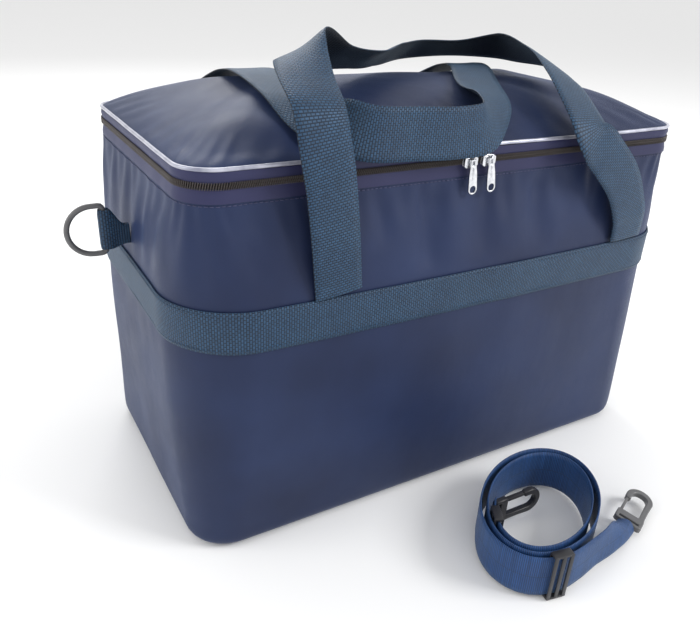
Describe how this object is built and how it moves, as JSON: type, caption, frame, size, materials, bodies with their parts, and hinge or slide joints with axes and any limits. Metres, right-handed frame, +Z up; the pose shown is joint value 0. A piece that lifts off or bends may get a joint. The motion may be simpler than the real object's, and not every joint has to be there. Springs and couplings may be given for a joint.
{
  "type": "insulated cooler bag",
  "caption": "Soft rectangular insulated bag with a zipped padded lid, webbing carry handles, side rings and a detached rolled shoulder strap.",
  "frame": {"origin": "on the floor under the middle of the bag", "axes": "+X along the bag's width, the front faces -Y, +Z up"},
  "size_m": [0.535, 0.3938, 0.3586],
  "materials": {
    "nylon": "satin woven polyester, navy",
    "foam": "closed-cell foam",
    "liner": "embossed waterproof film, silver",
    "binding": "woven bias tape, black",
    "webbing": "ribbed polypropylene webbing, dark teal blue",
    "zip_tape": "woven zip tape, navy",
    "zip_teeth": "nylon coil, dark brown",
    "piping": "smooth silver piping",
    "nickel": "polished nickel",
    "plastic_grey": "moulded acetal, grey",
    "strap_webbing": "ribbed polypropylene webbing, blue",
    "plastic_black": "moulded acetal, black"
  },
  "bodies": {
    "bag": {"outer_base": "nylon", "outer_wall": "nylon", "foam_base": "foam", "foam_front": "foam", "foam_rear": "foam", "foam_left": "foam", "foam_right": "foam", "liner_wall": "liner", "liner_base": "liner", "rim_binding": "binding", "waist_band": "webbing", "zip_tape_lower": "zip_tape", "zip_teeth_lower": "zip_teeth", "rear_fabric_hinge": "nylon", "rear_handle_leg_left": "webbing", "rear_handle_leg_right": "webbing", "d_ring_tab_left": "webbing", "d_ring_tab_right": "webbing"},
    "lid": {"lid_cover": "nylon", "lid_foam": "foam", "lid_liner": "liner", "lid_binding": "binding", "lid_piping": "piping", "zip_tape_upper": "zip_tape", "zip_teeth_upper": "zip_teeth"},
    "left_slider": {"zip_slider_left": "nickel"},
    "right_slider": {"zip_slider_right": "nickel"},
    "left_pull": {"zip_pull_left": "nickel"},
    "right_pull": {"zip_pull_right": "nickel"},
    "front_handle": {"front_handle": "webbing"},
    "rear_handle": {"rear_handle": "webbing"},
    "left_ring": {"d_ring_left": "plastic_grey"},
    "right_ring": {"d_ring_right": "plastic_grey"},
    "shoulder_strap": {"strap_webbing": "strap_webbing", "strap_buckle_outer": "plastic_black", "strap_buckle_inner": "plastic_black", "hook_outer": "plastic_grey", "hook_inner": "plastic_black"},
    "outer_gate": {"hook_outer_gate": "plastic_grey"},
    "inner_gate": {"hook_inner_gate": "plastic_black"}
  },
  "joints": [
    {"name": "lid_hinge", "type": "hinge", "parent": "bag", "child": "lid", "pos_m": [0, 0.1135, 0.286], "axis": [-1, 0, 0], "range_deg": [0, 104]},
    {"name": "front_handle_swing", "type": "hinge", "parent": "bag", "child": "front_handle", "pos_m": [0, -0.131, 0.199], "axis": [1, 0, 0], "range_deg": [0, 182]},
    {"name": "rear_handle_swing", "type": "hinge", "parent": "bag", "child": "rear_handle", "pos_m": [0, 0.1135, 0.286], "axis": [-1, 0, 0], "range_deg": [0, 104]},
    {"name": "left_slider_travel", "type": "slide", "parent": "bag", "child": "left_slider", "axis": [-1, 0, 0], "range_m": [0, 0.155]},
    {"name": "right_slider_travel", "type": "slide", "parent": "bag", "child": "right_slider", "axis": [1, 0, 0], "range_m": [0, 0.165]},
    {"name": "left_pull_flip", "type": "hinge", "parent": "left_slider", "child": "left_pull", "pos_m": [-0.012, -0.1195, 0.2776], "axis": [-1, 0, 0], "range_deg": [0, 90]},
    {"name": "right_pull_flip", "type": "hinge", "parent": "right_slider", "child": "right_pull", "pos_m": [0.004, -0.1195, 0.2776], "axis": [-1, 0, 0], "range_deg": [0, 90]},
    {"name": "left_ring_swing", "type": "hinge", "parent": "bag", "child": "left_ring", "pos_m": [-0.24, 0, 0.219], "axis": [0, 0, 1], "range_deg": [-75, 75]},
    {"name": "right_ring_swing", "type": "hinge", "parent": "bag", "child": "right_ring", "pos_m": [0.24, 0, 0.219], "axis": [0, 0, 1], "range_deg": [-75, 75]},
    {"name": "strap_lift", "type": "slide", "parent": "bag", "child": "shoulder_strap", "axis": [0, 0, 1], "range_m": [0, 0.3]},
    {"name": "outer_gate_press", "type": "hinge", "parent": "shoulder_strap", "child": "outer_gate", "pos_m": [0.09433, -0.23078, 0.00969], "axis": [-0.081, 0.1814, -0.9801], "range_deg": [0, 15], "stiffness_Nm_per_rad": 0.02},
    {"name": "inner_gate_press", "type": "hinge", "parent": "shoulder_strap", "child": "inner_gate", "pos_m": [0.00083, -0.19459, 0.0292], "axis": [0.016, 0.9999, 0], "range_deg": [0, 15], "stiffness_Nm_per_rad": 0.02}
  ],
  "couplings": [
    {"joint": "front_handle_swing", "follows": "lid_hinge", "ratio": 1.75},
    {"joint": "rear_handle_swing", "follows": "lid_hinge", "ratio": 1}
  ]
}
